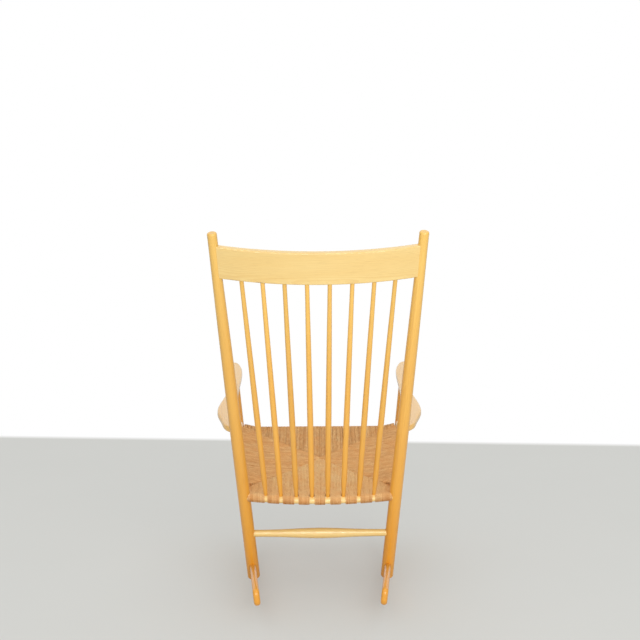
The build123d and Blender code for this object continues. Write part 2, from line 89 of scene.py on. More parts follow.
# How one cord lies
CORD_CORNERS = 6
CORD_HALF_WIDTH = 0.53  # of the pitch, so that neighbours press together
UNEVEN = 0.00035  # above or below its neighbours
STRAY = 0.0005  # sideways
RUN_SHARES = (0.93, 0.72, 0.48, 0.24)  # of the run to the diagonal, a point at each
FIRST_POINT = 0.005  # the run has no point nearer to the rail's middle
LEVEL_FROM, LEVEL_OVER = 0.006, 0.05  # where it leaves the rail's own height
SIDE_RISE = 0.005  # how much higher the faces lie beside the side rails
PAST_OVER, PAST_UNDER = 0.0035, 0.002  # how far an upper and a lower cord overrun
END_TUCK = 0.42  # height of a cord's end, as a share of the seat's half thickness
NECK_RUN, NECK_DROP = 0.7, 0.35  # shares of the overrun and of the drop to the end
LOWER_DIP, DIP_OVER = 0.0016, 0.008  # how a lower cord sinks near the diagonal
TURN_POINTS, TURN_START, TURN_STEP = 9, 82, 24.5  # round the rail, in degrees

# What starts the random draws of each field
FRONT_SEED, SIDE_SEED, BACK_SEED = 11, 12, 13

# How pale a cord is: 0 is the darkest and 1 the palest
FRONT_TONES = (0.42, 0.85)
SIDE_TONES = (0.42, 0.76)
BACK_TONES = (0.75, 1.2)
# Painted shade on the cords' undersides, where they have turned under the rails
UNDERSIDE_PAINTED_SHADE = 0.6
PAINTED_SHADE_FROM, PAINTED_SHADE_OVER = 7, 5  # counted in points along the cord

# Wood and its lacquer. A tone is the share of the colour that is left
PALE_PIECES = ("arm", "crest", "seat_rail", "stretcher")
PALE_COAT, GOLDEN_COAT = 0.85, 0.45
# Share of pale wood in the arms' colour: partly their own paler wood, partly a painted
# reflection of the bright room on their tops
ARM_PALENESS_AND_REFLECTION = 0.6
END_SLAB = 0.04  # of a piece's length, in which the middle of its end is looked for
DEEP_TONE = (0.92, 0.82, 0.66)
LATE_TONE = (0.82, 0.66, 0.45)
PORE_TONE = (0.58, 0.46, 0.32)
PORE_SHARE = 0.8  # how strong the pores are beside the rings
# Heights over which the golden wood is painted lighter: painted light on the top of the chair
PAINTED_LIGHT_FROM, PAINTED_LIGHT_TO = 0.15, 1.0  # heights
HEART_ACROSS, HEART_BELOW = (0.03, 0.06), (0.02, 0.05)  # from the piece to the heart
RING_WIDTHS = (0.85, 1.25)  # shares of the ring width, from piece to piece
RING_WAVER = 0.02  # how far the rings leave true circles
SHADES = (0.95, 1.04)  # shares of the colour, from piece to piece
UNDER_LACQUER = (0.12, 0.24)  # how much rougher the wood is than the lacquer
COAT_SHARE = 0.6  # of the lacquer's roughness, for its upper coat

# Paper cord. A tone is the share of the colour that is left
STRANDS = 3
TONE_SWINGS = 45  # in a metre of cord
TONE_APART = 60  # sets the swings of one cord apart from another's
DARK_CORD = Vector((0.58, 0.44, 0.35))
PALE_CORD = Vector((1.08, 1.6, 2.5))

# The studio
FLOOR_SIZE = 24
FLOOR_CLOUDS = 0.03  # how much lighter or darker the floor's clouds are
WHITE_FROM, WHITE_TO = -1.825, -1.885  # Y where the floor turns white, at X = 0
WHITE_SLANT = 0.089  # and how much farther along -Y for each metre of X
FLOOR_GLOW = (0.64, 0.645, 0.615, 1)
FLOOR_GLOW_SHARE = 0.5  # of what the camera sees of the floor
SIDE_LIGHT = 0.25  # of the room light, from the left and right
KEY_PLACE, KEY_AIM = Vector((-0.8, 4.3, 1.95)), Vector((0, 0, 0.8))
KEY_WIDTH, KEY_HEIGHT = 4.6, 0.9
CAMERA_PLACE = (0, 3.762, 1.2964)
CAMERA_DOWN, CAMERA_ROLL = 5.5, -0.39  # degrees
SENSOR_WIDTH = 36
CAMERA_SHIFT_X, CAMERA_SHIFT_Y = 0.0026, -0.077

# Sockets of a Mix node that mixes colours
MIX_FACTOR, MIX_FIRST, MIX_SECOND, MIX_RESULT = 0, 6, 7, 2


class RockerWood(PropertyGroup):
    golden: FloatVectorProperty(
        name="Golden wood",
        description="Colour of the posts, legs, spindles and rockers",
        subtype="COLOR",
        default=(0.83, 0.385, 0.035),
        min=0,
        max=1,
    )
    # Painted light: the golden wood's colour near the top of the back, lighter where more light
    # falls
    painted_light_top: FloatVectorProperty(
        name="Lit wood",
        description="Colour that the golden wood has taken near the top of the back",
        subtype="COLOR",
        default=(0.89, 0.58, 0.15),
        min=0,
        max=1,
    )
    pale: FloatVectorProperty(
        name="Pale wood",
        description="Colour of the crest rail, stretchers and seat rails, and most of the arms'",
        subtype="COLOR",
        default=(0.88, 0.66, 0.27),
        min=0,
        max=1,
    )
    grain: FloatProperty(
        name="Grain",
        description="How much darker the late wood is than the early wood",
        subtype="FACTOR",
        default=0.36,
        min=0,
        max=1,
    )
    ring_width: FloatProperty(
        name="Ring width",
        description="Distance from one growth ring to the next",
        subtype="DISTANCE",
        unit="LENGTH",
        default=0.0028,
        min=0.0005,
    )
    gloss: FloatProperty(
        name="Lacquer roughness",
        description="Roughness of the lacquer over the wood",
        subtype="FACTOR",
        default=0.22,
        min=0,
        max=1,
    )


class RockerWeave(PropertyGroup):
    colour: FloatVectorProperty(
        name="Cord colour",
        description="Colour of the paper cord",
        subtype="COLOR",
        default=(0.9, 0.45, 0.145),
        min=0,
        max=1,
    )
    cord: FloatProperty(
        name="Cord diameter",
        description="Thickness of one cord",
        subtype="DISTANCE",
        unit="LENGTH",
        default=0.0032,
        min=0.001,
    )
    lay: FloatProperty(
        name="Lay length",
        description="Length of cord in which its strands go round once",
        subtype="DISTANCE",
        unit="LENGTH",
        default=0.011,
        min=0.002,
    )
    sag: FloatProperty(
        name="Sag",
        description="How far the middle of the seat has sunk",
        subtype="DISTANCE",
        unit="LENGTH",
        default=0.006,
        min=0,
    )
    centre: FloatProperty(
        name="Meeting point",
        description="Where the four fields meet, measured towards the back",
        subtype="DISTANCE",
        unit="LENGTH",
        default=-0.1,
    )
    bundle_gap: FloatProperty(
        name="Gap at a spindle",
        description="Bare back rail at a spindle: wider in the middle, narrower at the posts",
        subtype="DISTANCE",
        unit="LENGTH",
        default=0.0125,
        min=0,
    )


class RockerStage(PropertyGroup):
    floor: FloatVectorProperty(
        name="Floor",
        description="Colour of the floor",
        subtype="COLOR",
        default=(0.63, 0.632, 0.61),
        min=0,
        max=1,
    )
    key: FloatProperty(
        name="Key light",
        description="Power of the large soft light above the camera",
        unit="POWER",
        default=105,
        min=0,
    )
    fill: FloatProperty(
        name="Room light",
        description="Strength of the even light from all round",
        default=1.08,
        min=0,
    )
    lens: FloatProperty(
        name="Lens",
        description="Focal length of the camera",
        subtype="DISTANCE_CAMERA",
        unit="CAMERA",
        default=72.8,
        min=1,
    )


# ---- Shader nodes ----


def node(tree, kind, place, **settings):
    """A node of a kind in a tree, with its settings and the values of its sockets."""
    made = tree.nodes.new(kind)
    made.location = place
    for name, value in settings.items():
        if name in made.inputs:
            made.inputs[name].default_value = value
        else:
            setattr(made, name, value)
    return made


def feed(tree, socket, value):
    """Link a socket to another one, or give it a value."""
    if isinstance(value, bpy.types.NodeSocket):
        tree.links.new(value, socket)
    else:
        socket.default_value = value


def maths(tree, place, operation, *values, **settings):
    """The result of a Math node on sockets or numbers."""
    made = node(tree, "ShaderNodeMath", place, operation=operation, **settings)
    for socket, value in zip(made.inputs, values):
        feed(tree, socket, value)
    return made.outputs[0]


def vector_maths(tree, place, operation, *values):
    """The result of a Vector Math node on sockets or vectors."""
    made = node(tree, "ShaderNodeVectorMath", place, operation=operation)
    for socket, value in zip(made.inputs, values):
        feed(tree, socket, value)
    return made.outputs[0]


def ranged(tree, place, value, start=0.0, stop=1.0, low=0.0, high=1.0, curve="LINEAR"):
    """A number that goes from low to high as a socket goes from start to stop."""
    made = node(tree, "ShaderNodeMapRange", place, interpolation_type=curve)
    names = ("Value", "From Min", "From Max", "To Min", "To Max")
    for name, given in zip(names, (value, start, stop, low, high)):
        feed(tree, made.inputs[name], given)
    return made.outputs["Result"]


def noise_at(tree, place, point, scale, detail):
    """Smooth noise at a point."""
    made = node(tree, "ShaderNodeTexNoise", place, Scale=scale, Detail=detail)
    feed(tree, made.inputs["Vector"], point)
    return made.outputs["Fac"]


def split(tree, place, point):
    """The X, Y and Z sockets of a point."""
    made = node(tree, "ShaderNodeSeparateXYZ", place)
    feed(tree, made.inputs[0], point)
    return made.outputs


def mixed(tree, place, factor, first, second, blend="MIX"):
    """A colour mix of two sockets or colours."""
    mix = node(tree, "ShaderNodeMix", place, data_type="RGBA", blend_type=blend)
    feed(tree, mix.inputs[MIX_FACTOR], factor)
    for index, colour in ((MIX_FIRST, first), (MIX_SECOND, second)):
        if not isinstance(colour, bpy.types.NodeSocket):
            colour = (*colour, 1)
        feed(tree, mix.inputs[index], colour)
    return mix.outputs[MIX_RESULT]


def wood_grain_group():
    """Growth rings, fibres and slow changes of tone, for X along the grain."""
    tree = bpy.data.node_groups.new("wood_grain", "ShaderNodeTree")
    sockets = tree.interface
    sockets.new_socket("Vector", in_out="INPUT", socket_type="NodeSocketVector")
    sockets.new_socket("Ring Width", in_out="INPUT", socket_type="NodeSocketFloat")
    for name in ("Rings", "Fibre", "Tone"):
        sockets.new_socket(name, in_out="OUTPUT", socket_type="NodeSocketFloat")
    start = node(tree, "NodeGroupInput", (-900, 0))
    end = node(tree, "NodeGroupOutput", (700, 0))
    point = start.outputs["Vector"]

    def drawn_out(height, along, across, detail):
        """Noise that changes so many times a metre along and across the grain."""
        scales = (along, across, across)
        longer = vector_maths(tree, (-700, height), "MULTIPLY", point, scales)
        return noise_at(tree, (-500, height), longer, scale=1.0, detail=detail)

    drift = drawn_out(200, along=2.5, across=16, detail=3.0)
    fibre = drawn_out(-300, along=22, across=1100, detail=4.0)
    tone = drawn_out(-550, along=5, across=45, detail=2.0)

    parts = split(tree, (-700, -50), point)
    across = node(tree, "ShaderNodeCombineXYZ", (-500, -50))
    feed(tree, across.inputs["Y"], parts["Y"])
    feed(tree, across.inputs["Z"], parts["Z"])
    radius = node(tree, "ShaderNodeVectorMath", (-340, -50), operation="LENGTH")
    feed(tree, radius.inputs[0], across.outputs[0])
    shift = maths(tree, (-340, 150), "MULTIPLY", drift, RING_WAVER)
    moved = maths(tree, (-180, 0), "ADD", radius.outputs["Value"], shift)
    count = maths(tree, (-20, 0), "DIVIDE", moved, start.outputs["Ring Width"])
    wrap = maths(tree, (140, 0), "FRACT", count)
    late = ranged(tree, (300, 0), wrap, start=0.35, stop=0.97, curve="SMOOTHSTEP")
    pores = ranged(tree, (-300, -300), fibre, start=0.52, stop=0.72, curve="SMOOTHSTEP")
    for name, result in (("Rings", late), ("Fibre", pores), ("Tone", tone)):
        feed(tree, end.inputs[name], result)


def grain_point(tree, point, ends, bow, heart):
    """A point seen from the heart of the log, with X along the grain.

    The grain runs from one end of the piece to the other. bow is how far the
    piece bends away from that line half way along.
    """
    grain_start, grain_end = ends
    along = grain_end - grain_start
    turn = along.to_track_quat("X", "Z")
    turned = node(tree, "ShaderNodeMapping", (-1300, 0), vector_type="TEXTURE")
    turned.inputs["Location"].default_value = grain_start - turn @ heart
    turned.inputs["Rotation"].default_value = turn.to_euler("XYZ")
    feed(tree, turned.inputs["Vector"], point)
    run = split(tree, (-1300, -300), turned.outputs[0])
    share = maths(tree, (-1140, -300), "DIVIDE", run["X"], along.length)
    rest = maths(tree, (-1140, -460), "SUBTRACT", 1, share)
    arch = maths(tree, (-980, -400), "MULTIPLY", share, rest)
    # The arch is a quarter at its highest, so the bow is four times as long
    bent = node(tree, "ShaderNodeVectorMath", (-820, -400), operation="SCALE")
    bent.inputs[0].default_value = (turn.inverted() @ bow) * 4
    feed(tree, bent.inputs["Scale"], arch)
    whole = turned.outputs[0]
    return vector_maths(tree, (-660, -400), "SUBTRACT", whole, bent.outputs[0])


def wood_material(name, colour, lit_top_colour, ends, bow, coat, settings, seed):
    """Lacquered wood whose grain runs from one end towards the other.

    The colour is painted lighter towards the top of the chair, changing to the
    lit top colour there as painted light, and coat is how much lacquer the piece has.
    """
    random.seed(seed)
    heart = Vector((0, random.uniform(*HEART_ACROSS), random.uniform(*HEART_BELOW)))
    ring_width = settings.ring_width * random.uniform(*RING_WIDTHS)
    shade = random.uniform(*SHADES)

    material = bpy.data.materials.new(name)
    material.use_nodes = True
    tree = material.node_tree
    shader = tree.nodes["Principled BSDF"]
    place = node(tree, "ShaderNodeTexCoord", (-1500, 0)).outputs["Object"]
    grain = node(tree, "ShaderNodeGroup", (-1100, 0))
    grain.node_tree = bpy.data.node_groups["wood_grain"]
    feed(tree, grain.inputs["Vector"], grain_point(tree, place, ends, bow, heart))
    feed(tree, grain.inputs["Ring Width"], ring_width)
    rings, fibre, tone = (grain.outputs[part] for part in ("Rings", "Fibre", "Tone"))

    # Painted light: the colour turns lighter up the chair
    height = split(tree, (-1300, 300), place)["Z"]
    painted_light_share = ranged(tree, (-1100, 300), height, start=PAINTED_LIGHT_FROM, stop=PAINTED_LIGHT_TO)
    low, high = Vector(colour) * shade, Vector(lit_top_colour) * shade
    light = mixed(tree, (-900, 300), painted_light_share, low, high)
    deep = mixed(tree, (-700, 300), 1.0, light, DEEP_TONE, "MULTIPLY")
    late = mixed(tree, (-700, 500), 1.0, light, LATE_TONE, "MULTIPLY")
    pore = mixed(tree, (-700, 700), 1.0, light, PORE_TONE, "MULTIPLY")
    ring_amount = maths(tree, (-850, 100), "MULTIPLY", rings, settings.grain)
    pore_amount = maths(
        tree, (-850, -300), "MULTIPLY", fibre, settings.grain * PORE_SHARE
    )
    toned = mixed(tree, (-850, -100), tone, light, deep)
    ringed = mixed(tree, (-650, 0), ring_amount, toned, late)
    pored = mixed(tree, (-450, 0), pore_amount, ringed, pore)
    feed(tree, shader.inputs["Base Color"], pored)

    bump = node(tree, "ShaderNodeBump", (-450, -350), Strength=0.08, Distance=0.0002)
    bump.invert = True
    feed(tree, bump.inputs["Height"], fibre)
    feed(tree, shader.inputs["Normal"], bump.outputs[0])
    smoothest, roughest = (settings.gloss + added for added in UNDER_LACQUER)
    rough = ranged(tree, (-450, -150), tone, low=smoothest, high=roughest)
    feed(tree, shader.inputs["Roughness"], rough)
    shader.inputs["Coat Weight"].default_value = coat
    shader.inputs["Coat Roughness"].default_value = settings.gloss * COAT_SHARE
    shader.inputs["Coat IOR"].default_value = 1.5
    return material


def cord_material(name, settings):
    """Twisted brown paper cord, read from arc length and turn in the UV map."""
    material = bpy.data.materials.new(name)
    material.use_nodes = True
    tree = material.node_tree
    shader = tree.nodes["Principled BSDF"]
    base = Vector(settings.colour)
    dark, pale = base * DARK_CORD, base * PALE_CORD

    # The grooves between the strands, which wind round the cord
    where = node(tree, "ShaderNodeUVMap", (-1500, 0), uv_map="cord")
    parts = split(tree, (-1300, 0), where.outputs[0])
    along = maths(tree, (-1100, 100), "DIVIDE", parts["X"], settings.lay)
    phase = maths(tree, (-940, 50), "ADD", along, parts["Y"])
    turns = maths(tree, (-780, 50), "MULTIPLY", phase, STRANDS * math.tau)
    wave = maths(tree, (-620, 50), "SINE", turns)
    groove = ranged(tree, (-460, 50), wave, start=-1.0)

    # The cord's own tone, which swings along it, less the painted shade under the rails that
    # comes with it
    tone = node(tree, "ShaderNodeAttribute", (-1100, 350), attribute_name="tone")
    spot = node(tree, "ShaderNodeCombineXYZ", (-1100, 1000))
    stretch = maths(tree, (-1300, 950), "MULTIPLY", parts["X"], TONE_SWINGS)
    strand = maths(tree, (-1300, 1100), "MULTIPLY", tone.outputs["Fac"], TONE_APART)
    feed(tree, spot.inputs["X"], stretch)
    feed(tree, spot.inputs["Y"], strand)
    uneven = noise_at(tree, (-950, 1000), spot.outputs[0], scale=1.0, detail=3.0)
    swing = ranged(tree, (-780, 1000), uneven, start=0.3, stop=0.7, low=-0.3, high=0.3)
    toned = maths(
        tree, (-620, 900), "ADD", swing, tone.outputs["Fac"], use_clamp=True
    )

    # Stains and flecks over the whole seat, and shade in the grooves
    place = node(tree, "ShaderNodeTexCoord", (-1500, 350)).outputs["Object"]
    stains = noise_at(tree, (-1100, 550), place, scale=22.0, detail=4.0)
    flecks = noise_at(tree, (-1100, 750), place, scale=420.0, detail=3.0)
    stain = ranged(tree, (-850, 650), stains, start=0.35, stop=0.7, high=0.4)
    fleck = ranged(tree, (-620, 750), flecks, start=0.45, stop=0.75, high=0.45)
    shadow = ranged(tree, (-420, 250), groove, low=0.45, high=0.0)
    clean = mixed(tree, (-850, 450), toned, dark, pale)
    stained = mixed(tree, (-620, 450), stain, clean, base)
    flecked = mixed(tree, (-420, 450), fleck, stained, dark)
    shaded = mixed(tree, (-220, 350), shadow, flecked, dark)
    feed(tree, shader.inputs["Base Color"], shaded)

    bump = node(tree, "ShaderNodeBump", (-220, -50), Strength=0.7, Distance=0.0006)
    feed(tree, bump.inputs["Height"], groove)
    feed(tree, shader.inputs["Normal"], bump.outputs[0])
    shader.inputs["Roughness"].default_value = 0.65
    shader.inputs["Specular IOR Level"].default_value = 0.03
    return material


# ---- The weave ----


def smooth(value):
    """0 to 1 with level ends."""
    value = min(max(value, 0.0), 1.0)
    return value * value * (3 - 2 * value)


def between(first, second, share):
    """The value a share of the way from the first to the second."""
    return first + (second - first) * share


def back_rail_at(x):
    """Middle line of the back rail, whose bow lies in the plane of the seat."""
    half = BACK_RAIL.x
    radius = (half * half + BACK_RAIL_BOW**2) / (2 * BACK_RAIL_BOW)
    bow = BACK_RAIL_BOW - radius + math.sqrt(radius**2 - x * x)
    line = Vector((0, BACK_RAIL.y - FRONT_RAIL.y, BACK_RAIL.z - FRONT_RAIL.z))
    return Vector((x, BACK_RAIL.y, BACK_RAIL.z)) + line.normalized() * bow


def side_rail_at(y):
    """X and Z of the left side rail's middle line."""
    share = (y - SIDE_RAIL_FRONT.y) / (SIDE_RAIL_BACK.y - SIDE_RAIL_FRONT.y)
    rail = SIDE_RAIL_FRONT.lerp(SIDE_RAIL_BACK, share)
    return rail.x, rail.z


def seat_middle(x, y, sag):
    """Height of the seat's middle, how far its faces have sunk, and how near a side is.

    The seat has sunk most half way along, where share * (1 - share) is a quarter.
    """
    back = back_rail_at(0)
    share = (y - FRONT_RAIL.y) / (back.y - FRONT_RAIL.y)
    height = between(FRONT_RAIL.z, back.z, share)
    side = min(abs(x) / side_rail_at(y)[0], 1)
    sunk = sag * 4 * share * (1 - share) * (1 - side**2)
    return height, sunk, side


def strand_path(rail, inward, length, settings, over, spread, noise, lift=0.0):
    """Points of one cord: in from the diagonal, round its rail and back below.

    rail is the rail's middle where the cord crosses it, inward the level
    direction into the seat, length the run to the diagonal. over says whether
    the cord lies on top at the diagonal, spread moves a point sideways, noise
    from -1 to 1 says how high it lies among its neighbours, and lift raises
    the top of the turn round the rail.
    """
    radius = settings.cord / 2
    reach = RAIL_HALF_DEPTH + radius
    rise = RAIL_HALF_HEIGHT + radius
    past_end = PAST_OVER if over else PAST_UNDER
    dip = 0.0 if over else LOWER_DIP

    def surface(run, face):
        """The point at a distance from the rail, and the height of the seat's middle."""
        spot = rail + inward * run
        height, sunk, side = seat_middle(spot.x, spot.y, settings.sag)
        level = height + face * (rise - sunk) + SIDE_RISE * side**4
        start = rail.z + face * rise
        raised = lift * (face + 1) / 2
        blend = smooth((run - LEVEL_FROM) / LEVEL_OVER)
        return Vector((spot.x, spot.y, between(start, level, blend) + raised)), height

    def run_in(face):
        """Points from the diagonal to the rail, on the upper or lower face."""
        end, height = surface(length, face)
        tuck = height + face * (rise * END_TUCK)
        tip = end + inward * past_end
        neck = end + inward * past_end * NECK_RUN
        found = [
            Vector((*tip.xy, tuck)),
            Vector((*neck.xy, between(end.z, tuck, NECK_DROP))),
            end - Vector((0, 0, face * dip)),
        ]
        for share in RUN_SHARES:
            run = length * share
            spot, _ = surface(run, face)
            sink = dip * smooth(1 - (length - run) / DIP_OVER)
            spot.z += face * (noise * UNEVEN - sink)
            if run > FIRST_POINT:
                found.append(spot)
        return found

    points = run_in(1)
    for step in range(TURN_POINTS):
        angle = math.radians(TURN_START + step * TURN_STEP)
        across = math.cos(angle) * reach
        up = math.sin(angle) * rise
        up += lift * max(math.sin(angle), 0)
        points.append(rail + inward * across + Vector((0, 0, up)))
    points += reversed(run_in(-1))
    return [spread(point) for point in points]


def cords(name, paths, side, radii, tones, material):
    """One closed tube for each path, with arc length and turn as its UV map.

    side is the direction of a cord's width, and a radius gives half its width
    and half its thickness at a point. The tone falls where a cord has turned
    under its rail, as painted shade on the cords' undersides.
    """
    mesh = bmesh.new()
    uv = mesh.loops.layers.uv.new("cord")
    tone_and_shade_layer = mesh.verts.layers.float.new("tone")
    for path, radius, tone in zip(paths, radii, tones):
        rings = []
        travelled = 0.0
        for index, point in enumerate(path):
            before = path[max(index - 1, 0)]
            after = path[min(index + 1, len(path) - 1)]
            tangent = (after - before).normalized()
            lateral = (side - tangent * side.dot(tangent)).normalized()
            outward = tangent.cross(lateral)
            if index:
                travelled += (point - path[index - 1]).length
            wide, thick = radius(point)
            # Painted shade: the tone falls where the cord has turned under its rail
            painted_shade_share = smooth((index - PAINTED_SHADE_FROM) / PAINTED_SHADE_OVER)
            ring = []
            for turn in range(CORD_CORNERS):
                angle = math.tau * turn / CORD_CORNERS
                offset = lateral * math.cos(angle) * wide
                offset += outward * math.sin(angle) * thick
                corner = mesh.verts.new(point + offset)
                corner[tone_and_shade_layer] = tone - UNDERSIDE_PAINTED_SHADE * painted_shade_share
                ring.append(corner)
            rings.append((travelled, ring))
        for (start, first), (stop, second) in zip(rings, rings[1:]):
            for turn in range(CORD_CORNERS):
                next_turn = (turn + 1) % CORD_CORNERS
                low_edge = (first[turn], first[next_turn])
                high_edge = (second[next_turn], second[turn])
                face = mesh.faces.new(low_edge + high_edge)
                face.smooth = True
                low, high = turn / CORD_CORNERS, (turn + 1) / CORD_CORNERS
                places = ((start, low), (start, high), (stop, high), (stop, low))
                for loop, place in zip(face.loops, places):
                    loop[uv].uv = place
        for ring in (rings[0][1][::-1], rings[-1][1]):
            mesh.faces.new(ring)
    bmesh.ops.recalc_face_normals(mesh, faces=mesh.faces)
    data = bpy.data.meshes.new(name)
    mesh.to_mesh(data)
    mesh.free()
    made = bpy.data.objects.new(name, data)
    bpy.context.collection.objects.link(made)
    data.materials.append(material)
    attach(made, "root")
    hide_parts("seat_weave")
    return made


def weave_material(settings):
    """The cord's material, which all fields share."""
    found = bpy.data.materials.get("twisted_cord")
    return found or cord_material("twisted_cord", settings)


def front_corner():
    """Where the front diagonal starts, beside the left front leg."""
    return Vector((FRONT_RAIL.x - LEG_CLEARANCE, FRONT_RAIL.y + FRONT_DIAGONAL))


def back_corner():
    """Where the back diagonal meets the side rail, beside the left back post."""
    return Vector((BACK_RAIL.x - LEG_CLEARANCE, BACK_DIAGONAL_Y))


class ROCKER_OT_front_field(Operator):
    """Weave the front field of the seat, over the front rail"""

    bl_idname = "rocker.front_field"
    bl_label = "Front field"

    def execute(self, context):
        settings = context.scene.rocker_weave
        random.seed(FRONT_SEED)
        corner = front_corner()
        count = round(2 * corner.x / settings.cord)
        pitch = 2 * corner.x / count
        paths, tones = [], []
        for index in range(count):
            x = -corner.x + pitch * (index + 0.5)
            share = abs(x) / corner.x
            stop = between(settings.centre, corner.y, share)
            length = stop - FRONT_RAIL.y
            rail = Vector((x, FRONT_RAIL.y, FRONT_RAIL.z))
            noise = random.uniform(-1, 1)
            bend = random.uniform(-STRAY, STRAY)
            lift = FRONT_LIFT * min(max(abs(x) - LIFT_FROM, 0) / LIFT_OVER, 1)

            def spread(point, bend=bend):
                point.x += bend
                return point

            inward = Vector((0, 1, 0))
            paths.append(
                strand_path(rail, inward, length, settings, False, spread, noise, lift)
            )
            tones.append(random.uniform(*FRONT_TONES))
        wide = pitch * CORD_HALF_WIDTH
        cords(
            "weave_front",
            paths,
            Vector((1, 0, 0)),
            [lambda point: (wide, settings.cord / 2)] * len(paths),
            tones,
            weave_material(settings),
        )
        return {"FINISHED"}


class ROCKER_OT_side_fields(Operator):
    """Weave the two side fields of the seat, over the side rails"""

    bl_idname = "rocker.side_fields"
    bl_label = "Side fields"

    def execute(self, context):
        settings = context.scene.rocker_weave
        random.seed(SIDE_SEED)
        front, back = front_corner(), back_corner()
        first = front.y + SIDE_STARTS_BEHIND
        last = back.y + SIDE_STOPS_BEHIND
        centre = settings.centre
        count = round((last - first) / settings.cord)
        pitch = (last - first) / count
        for sign, name in ((1, "weave_left"), (-1, "weave_right")):
            paths, tones = [], []
            for index in range(count):
                y = first + pitch * (index + 0.5)
                x, z = side_rail_at(y)
                if y < centre:
                    stop = between(0, front.x, (centre - y) / (centre - front.y))
                else:
                    stop = between(0, back.x, (y - centre) / (back.y - centre))
                length = x - min(stop, x - SHORTEST_RUN)
                noise = random.uniform(-1, 1)
                bend = random.uniform(-STRAY, STRAY)
                if y > centre:
                    length += random.uniform(*RAGGED_MEETING)

                def spread(point, bend=bend):
                    point.y += bend
                    return point

                rail, inward = Vector((sign * x, y, z)), Vector((-sign, 0, 0))
                paths.append(
                    strand_path(rail, inward, length, settings, True, spread, noise)
                )
                tones.append(random.uniform(*SIDE_TONES))
            wide = pitch * CORD_HALF_WIDTH
            cords(
                name,
                paths,
                Vector((0, 1, 0)),
                [lambda point: (wide, settings.cord / 2)] * len(paths),
                tones,
                weave_material(settings),
            )
        return {"FINISHED"}


class ROCKER_OT_back_field(Operator):
    """Weave the back field, in nine bundles between the spindles and the posts"""

    bl_idname = "rocker.back_field"
    bl_label = "Back field"

    def execute(self, context):
        settings = context.scene.rocker_weave
        random.seed(BACK_SEED)
        corner = back_corner()
        feet = [-x for x in reversed(SPINDLE_FEET)] + list(SPINDLE_FEET)
        outer = corner.x + BACK_REACHES_PAST
        edges = [-outer] + feet + [outer]
        inward = Vector((0, -1, 0))

        def half_gap(edge):
            """Half of the bare rail at an edge, which is none beside a post."""
            if edge not in feet:
                return 0
            return settings.bundle_gap / 2 * between(*GAP_SHARES, abs(edge) / feet[-1])

        paths, tones, radii = [], [], []
        for left, right in zip(edges, edges[1:]):
            tight_left = left + half_gap(left)
            tight_right = right - half_gap(right)
            count = math.ceil((tight_right - tight_left) / settings.cord)
            tight = (tight_right - tight_left) / count
            loose = (right - left) / count
            for index in range(count):
                x_tight = tight_left + tight * (index + 0.5)
                x_loose = left + loose * (index + 0.5)
                rail = back_rail_at(x_tight)
                stop = between(settings.centre, corner.y, abs(x_loose) / corner.x)
                length = rail.y - stop
                noise = random.uniform(-1, 1)

                def opened(y, rail_y=rail.y):
                    return smooth((rail_y - BUNDLE_TIGHT - y) / BUNDLE_OPENS)

                def spread(point, x_tight=x_tight, x_loose=x_loose, opened=opened):
                    point.x = between(x_tight, x_loose, opened(point.y))
                    return point

                def radius(point, tight=tight, loose=loose, opened=opened):
                    wide = between(tight, loose, opened(point.y))
                    return wide * CORD_HALF_WIDTH, settings.cord / 2

                paths.append(
                    strand_path(rail, inward, length, settings, False, spread, noise)
                )
                tones.append(random.uniform(*BACK_TONES))
                radii.append(radius)
        cords(
            "weave_back",
            paths,
            Vector((1, 0, 0)),
            radii,
            tones,
            weave_material(settings),
        )
        return {"FINISHED"}


class ROCKER_OT_packing(Operator):
    """Lay the flat packing that fills the seat between its two layers of cord"""

    bl_idname = "rocker.packing"
    bl_label = "Packing"

    def execute(self, context):
        settings = context.scene.rocker_weave
        corners = []
        for x, y in PACKING_CORNERS:
            height = seat_middle(0, y, settings.sag)[0]
            for sign in (1, -1):
                for up in (PACKING_HALF, -PACKING_HALF):
                    corners.append((sign * x, y, height + up))
        top_and_bottom = [(0, 2, 6, 4), (1, 5, 7, 3)]
        edges = [(0, 1, 3, 2), (4, 6, 7, 5), (0, 4, 5, 1), (2, 3, 7, 6)]
        mesh = bpy.data.meshes.new("weave_packing")
        mesh.from_pydata(corners, [], top_and_bottom + edges)
        shape = bmesh.new()
        shape.from_mesh(mesh)
        bmesh.ops.recalc_face_normals(shape, faces=shape.faces)
        shape.to_mesh(mesh)
        shape.free()
        uv = mesh.uv_layers.new(name="cord")
        for loop in uv.data:
            loop.uv = (0, 0)
        made = bpy.data.objects.new("weave_packing", mesh)
        context.collection.objects.link(made)
        mesh.materials.append(weave_material(settings))
        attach(made, "root")
        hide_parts("seat_weave")
        return {"FINISHED"}


# ---- The wood ----


def long_axis(obj):
    """A line through the middle of a piece, the way it is longest."""
    low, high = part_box(obj.name)
    size = high - low
    axis = max(range(3), key=lambda index: size[index])
    corners = [vertex.co for vertex in obj.data.vertices]
    ends = []
    for bound in (low[axis], high[axis]):
        slab = size[axis] * END_SLAB
        near = [co for co in corners if abs(co[axis] - bound) < slab]
        ends.append(sum(near, Vector()) / len(near))
    return ends


